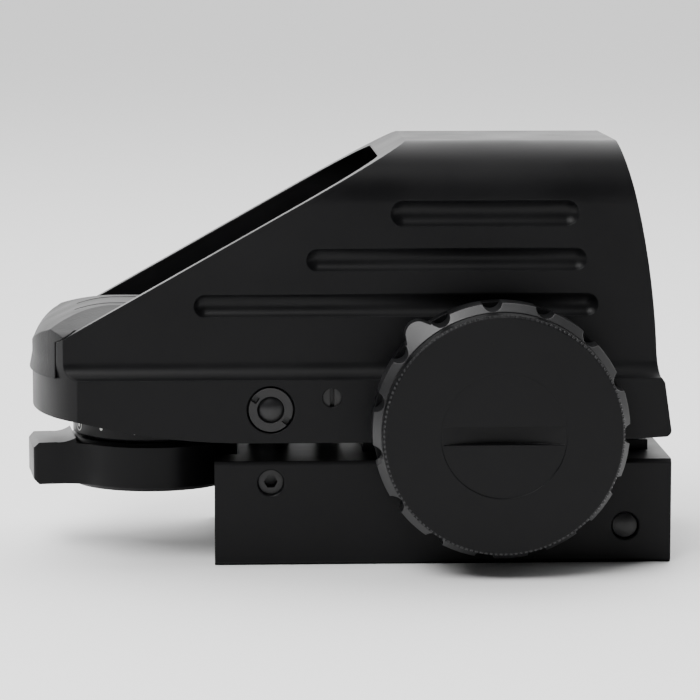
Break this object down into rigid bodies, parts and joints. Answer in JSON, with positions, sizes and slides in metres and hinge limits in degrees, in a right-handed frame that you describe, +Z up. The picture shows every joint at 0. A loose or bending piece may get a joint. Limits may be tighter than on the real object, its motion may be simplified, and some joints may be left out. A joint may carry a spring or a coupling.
{
  "type": "red dot finder",
  "caption": "Open reflex red dot finder with a slanted hood, coated front lens, reticle selector lever, scalloped brightness dial with coin-cell cap, on an adjustable dovetail rail clamp.",
  "frame": {"origin": "middle of the flat rail seat under the base, on the rail's centre line", "axes": "+X to the front lens, along the line of sight; +Z up, away from the rail; -Y is the side with the brightness dial"},
  "size_m": [0.0833, 0.0498, 0.0539],
  "materials": {
    "anodised_black": "matt black anodised",
    "black_steel": "black oxide",
    "plain_steel": "ground",
    "seal_rubber": "matt",
    "brass": "machined",
    "black_plastic": "fine texture",
    "lens_glass": "coated, polished",
    "circuit_board": "solder mask",
    "led_resin": "clear red resin",
    "cell_steel": "nickel plated"
  },
  "bodies": {
    "base": {"base_block": "anodised_black", "post_clamp_screw": "black_steel", "king_pin": "plain_steel"},
    "jaw": {"clamp_jaw": "anodised_black"},
    "bolt_front": {"clamp_bolt_front": "black_steel"},
    "bolt_rear": {"clamp_bolt_rear": "black_steel"},
    "pivot": {"pivot_block": "anodised_black"},
    "post": {"adjuster_post": "plain_steel"},
    "housing": {"main_housing": "anodised_black", "tilt_pin": "plain_steel", "elevation_lock_screw": "black_steel", "elevation_lock_pad": "brass", "front_lens": "lens_glass", "lens_retainer": "anodised_black", "bottom_cover": "black_plastic", "bottom_cover_screws": "black_steel", "driver_board": "circuit_board", "board_parts": "black_plastic", "emitter_board": "circuit_board", "led_holder": "black_plastic", "led_emitter": "led_resin", "rear_cover": "black_plastic", "cover_screws": "black_steel", "dial_flange": "anodised_black", "flange_screws": "black_steel", "switch_board": "circuit_board"},
    "windage": {"windage_screw": "black_steel", "windage_ring": "black_steel"},
    "elevation_ring": {"elevation_seal": "seal_rubber"},
    "elevation": {"elevation_screw": "black_steel"},
    "selector": {"reticle_drum": "anodised_black", "selector_lever": "anodised_black", "selector_screw": "black_steel"},
    "dial": {"brightness_knob": "anodised_black", "knob_spindle": "plain_steel", "spindle_clip": "plain_steel", "wiper_contact": "brass", "battery": "cell_steel"},
    "cap_ring": {"cap_seal": "seal_rubber"},
    "cap": {"battery_cap": "anodised_black"}
  },
  "joints": [
    {"name": "jaw_slide", "type": "slide", "parent": "base", "child": "jaw", "axis": [0, 1, 0], "range_m": [0, 0.003]},
    {"name": "bolt_front_turn", "type": "hinge", "parent": "jaw", "child": "bolt_front", "pos_m": [0.0235, 0.0173, -0.0015], "axis": [0, 1, 0], "range_deg": [0, 1543]},
    {"name": "bolt_rear_turn", "type": "hinge", "parent": "jaw", "child": "bolt_rear", "pos_m": [0.0035, 0.0173, -0.0015], "axis": [0, 1, 0], "range_deg": [0, 1543]},
    {"name": "windage_swing", "type": "hinge", "parent": "base", "child": "pivot", "pos_m": [0.024, 0, 0.008], "axis": [0, 0, 1], "range_deg": [-1.25, 1.25]},
    {"name": "elevation_tilt", "type": "hinge", "parent": "pivot", "child": "housing", "pos_m": [0.024, 0, 0.013], "axis": [0, 1, 0], "range_deg": [-1.25, 1.25]},
    {"name": "post_lift", "type": "slide", "parent": "base", "child": "post", "axis": [0, 0, 1], "range_m": [-0.00105, 0.00105]},
    {"name": "windage_turn", "type": "hinge", "parent": "housing", "child": "windage", "pos_m": [-0.022, -0.0187, 0.014], "axis": [0, 1, 0], "range_deg": [-724, 724]},
    {"name": "elevation_travel", "type": "slide", "parent": "housing", "child": "elevation_ring", "axis": [0, 0, 1], "range_m": [-0.00085, 0.00085]},
    {"name": "elevation_turn", "type": "hinge", "parent": "elevation_ring", "child": "elevation", "pos_m": [-0.0142, 0, 0.019], "axis": [0, 0, 1], "range_deg": [-601, 601]},
    {"name": "reticle_select", "type": "hinge", "parent": "housing", "child": "selector", "pos_m": [-0.0374, 0, 0.002], "axis": [0, 0, 1], "range_deg": [-53.2, 26.6]},
    {"name": "brightness_turn", "type": "hinge", "parent": "housing", "child": "dial", "pos_m": [0.0068, -0.0218, 0.0121], "axis": [0, -1, 0], "range_deg": [-150, 150]},
    {"name": "cap_travel", "type": "slide", "parent": "dial", "child": "cap_ring", "axis": [0, -1, 0], "range_m": [0, 0.006]},
    {"name": "cap_turn", "type": "hinge", "parent": "cap_ring", "child": "cap", "pos_m": [0.0068, -0.0269, 0.0121], "axis": [0, -1, 0], "range_deg": [0, 2161]}
  ],
  "couplings": [
    {"joint": "bolt_front_turn", "follows": "jaw_slide", "rad_per_m": 8976},
    {"joint": "bolt_rear_turn", "follows": "jaw_slide", "rad_per_m": 8976},
    {"joint": "windage_turn", "follows": "windage_swing", "ratio": -578.05},
    {"joint": "post_lift", "follows": "elevation_tilt", "m_per_rad": 0.046},
    {"joint": "elevation_travel", "follows": "elevation_tilt", "m_per_rad": -0.0382},
    {"joint": "elevation_turn", "follows": "elevation_tilt", "ratio": -480.04},
    {"joint": "cap_turn", "follows": "cap_travel", "rad_per_m": 6283.2}
  ]
}
